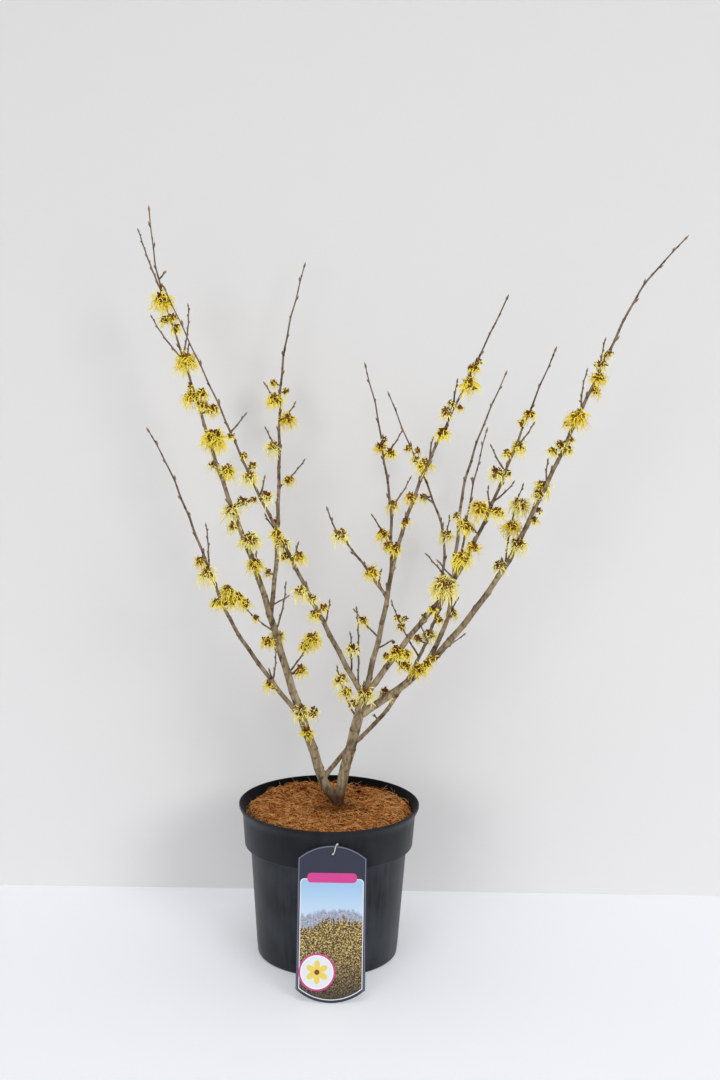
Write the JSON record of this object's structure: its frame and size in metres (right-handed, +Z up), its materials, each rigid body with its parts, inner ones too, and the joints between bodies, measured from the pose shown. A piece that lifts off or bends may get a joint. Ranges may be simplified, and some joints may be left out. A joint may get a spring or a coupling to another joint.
{
  "type": "potted witch hazel",
  "caption": "Young witch hazel shrub in flower on bare upright stems, in a round black nursery pot topped with coir, with a printed card leaning on the pot.",
  "frame": {"origin": "centre of the pot's flat underside, on the floor", "axes": "+Z up the stems, -Y towards the front where the card leans, +X to the right seen from the front"},
  "size_m": [0.6762, 0.3315, 0.9732],
  "materials": {
    "bark": "smooth grey-brown bark with small pale pores",
    "blossom": "lemon-yellow ribbon petals in maroon-brown calyces on thin brown twigs",
    "pot_plastic": "charcoal-black blow-moulded plastic, slightly glossy",
    "coir": "matted orange-brown coir fibre",
    "card": "thin slate-blue printed card with a low gloss",
    "thread": "thin white thread"
  },
  "bodies": {
    "root": {"back_spray": "blossom", "back_stem": "bark", "back_stem_spray": "blossom", "back_stem_spur_1": "blossom", "back_stem_spur_2": "blossom", "back_stem_spur_3": "blossom", "card_tie": "thread", "centre_bough": "bark", "centre_bough_spray": "blossom", "centre_bough_spur_1": "blossom", "centre_left_spray": "blossom", "coir_fill": "coir", "crossing_bough": "bark", "crossing_bough_spray": "blossom", "crossing_bough_spur_1": "blossom", "far_right_bough": "bark", "far_right_bough_spray": "blossom", "far_right_bough_spur_1": "blossom", "far_right_bough_spur_2": "blossom", "inner_left_bough": "bark", "inner_left_bough_spray": "blossom", "inner_left_bough_spur_1": "blossom", "left_stem": "bark", "left_stem_spray": "blossom", "left_stem_spur_1": "blossom", "left_stem_spur_2": "blossom", "left_stem_spur_3": "blossom", "left_stem_spur_4": "blossom", "left_stem_spur_5": "blossom", "left_stem_spur_6": "blossom", "low_left_bough": "bark", "low_left_bough_spray": "blossom", "low_left_bough_spur_1": "blossom", "low_left_bough_spur_2": "blossom", "plant_card": "card", "pot": "pot_plastic", "right_middle_bough": "bark", "right_middle_bough_spray": "blossom", "right_middle_bough_spur_1": "blossom", "right_middle_bough_spur_2": "blossom", "right_middle_bough_spur_3": "blossom", "right_upright_bough": "bark", "right_upright_bough_spray": "blossom", "slim_spray": "blossom", "trunk": "bark", "trunk_spur_1": "blossom", "trunk_spur_2": "blossom"}
  },
  "joints": []
}
